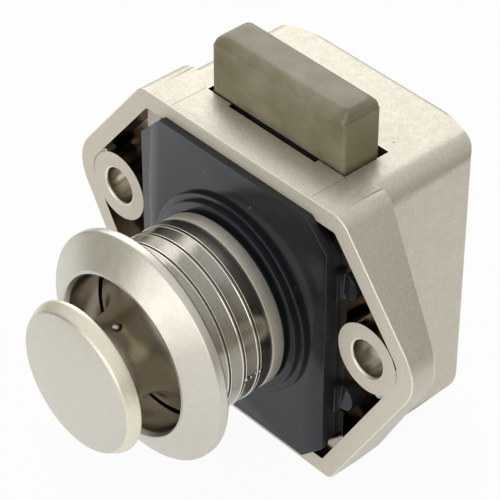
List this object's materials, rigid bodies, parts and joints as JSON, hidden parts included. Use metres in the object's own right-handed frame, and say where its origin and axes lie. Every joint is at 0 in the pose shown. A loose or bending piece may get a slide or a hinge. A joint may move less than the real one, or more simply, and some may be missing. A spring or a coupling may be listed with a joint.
{
  "type": "pushbutton catch",
  "caption": "Push-knob cabinet catch: flanged die-cast case with a spring bolt on top, a black cover plate, a ribbed rosette barrel and a round push knob.",
  "frame": {"origin": "on the knob's axis, in the plane of the case rim's front land", "axes": "+Z the way the bolt comes out, -Y the front of the door where the knob is, +X the right-hand screw lug seen from behind the door's front"},
  "size_m": [0.0506, 0.0437, 0.0416],
  "materials": {
    "satin_nickel": "satin pearl nickel plate on die-cast zinc",
    "rosette_nickel": "satin nickel flange, brighter turned barrel",
    "knob_nickel": "satin nickel head, glossier neck",
    "bolt_plastic": "grey-beige moulded plastic",
    "black_plastic": "glossy black moulded plastic",
    "dark_plastic": "dark moulded plastic",
    "steel": "bright drawn steel"
  },
  "bodies": {
    "housing": {"case": "satin_nickel", "cover_plate": "black_plastic", "rosette": "rosette_nickel", "button_spring": "steel", "bolt_spring_left": "steel", "bolt_spring_right": "steel"},
    "button": {"knob": "knob_nickel", "spindle": "steel", "drive_wedge": "dark_plastic"},
    "bolt": {"bolt": "bolt_plastic"}
  },
  "joints": [
    {"name": "button_press", "type": "slide", "parent": "housing", "child": "button", "axis": [0, 1, 0], "range_m": [0, 0.006], "stiffness_N_per_m": 500, "springref_m": -0.008, "deforming": ["button_spring"]},
    {"name": "bolt_slide", "type": "slide", "parent": "housing", "child": "bolt", "axis": [0, 0, -1], "range_m": [0, 0.006], "stiffness_N_per_m": 300, "springref_m": -0.008, "deforming": ["bolt_spring_left", "bolt_spring_right"]}
  ],
  "couplings": [
    {"joint": "bolt_slide", "follows": "button_press", "ratio": 1}
  ]
}
